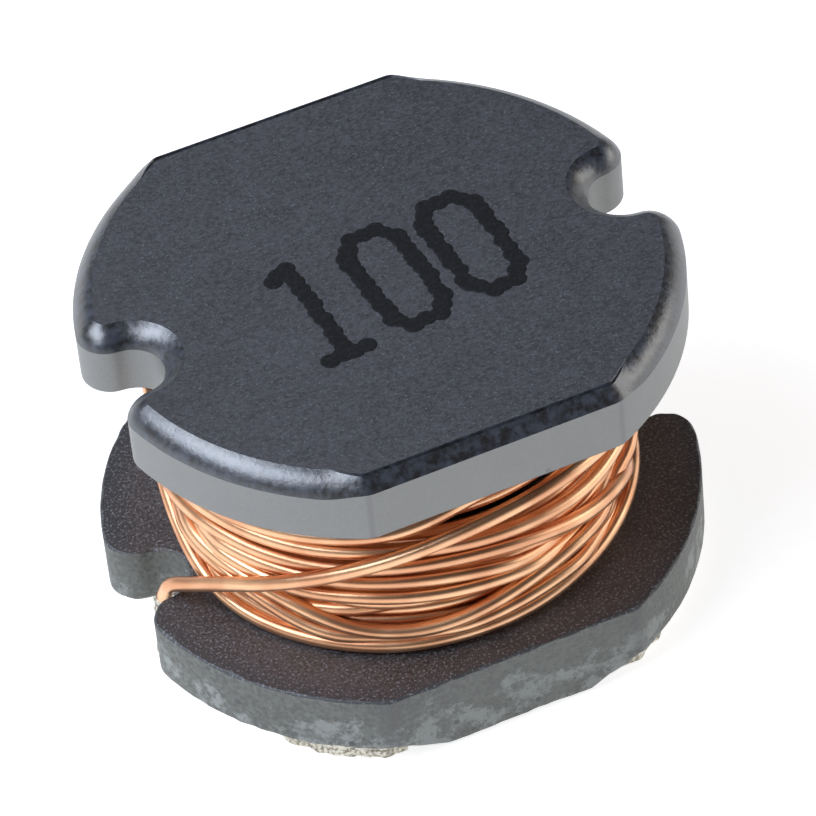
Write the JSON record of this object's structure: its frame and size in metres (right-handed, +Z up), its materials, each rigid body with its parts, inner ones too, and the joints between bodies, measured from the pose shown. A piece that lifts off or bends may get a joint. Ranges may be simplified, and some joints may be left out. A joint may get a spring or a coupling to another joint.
{
  "type": "smd power inductor",
  "caption": "Unshielded surface-mount power inductor: a ferrite drum core with flat-sided flanges, wound with enamelled copper wire and soldered to electrodes under its lower flange.",
  "frame": {"origin": "middle of the seating plane, on which the two solder coats stand", "axes": "+Z up through the post; +X from the finish lead's notch to the start lead's notch; +Y across the flats"},
  "size_m": [0.0076, 0.007, 0.005],
  "materials": {
    "ferrite": "sintered and tumbled, dark blue-grey, faces darker than the ground rims",
    "copper_wire": "clear enamelled copper, glossy",
    "silver": "fired silver, matt",
    "solder": "tin solder, satin and uneven"
  },
  "bodies": {
    "root": {"drum_core": "ferrite", "winding": "copper_wire", "electrode_start": "silver", "electrode_finish": "silver", "solder_start": "solder", "solder_finish": "solder"}
  },
  "joints": []
}
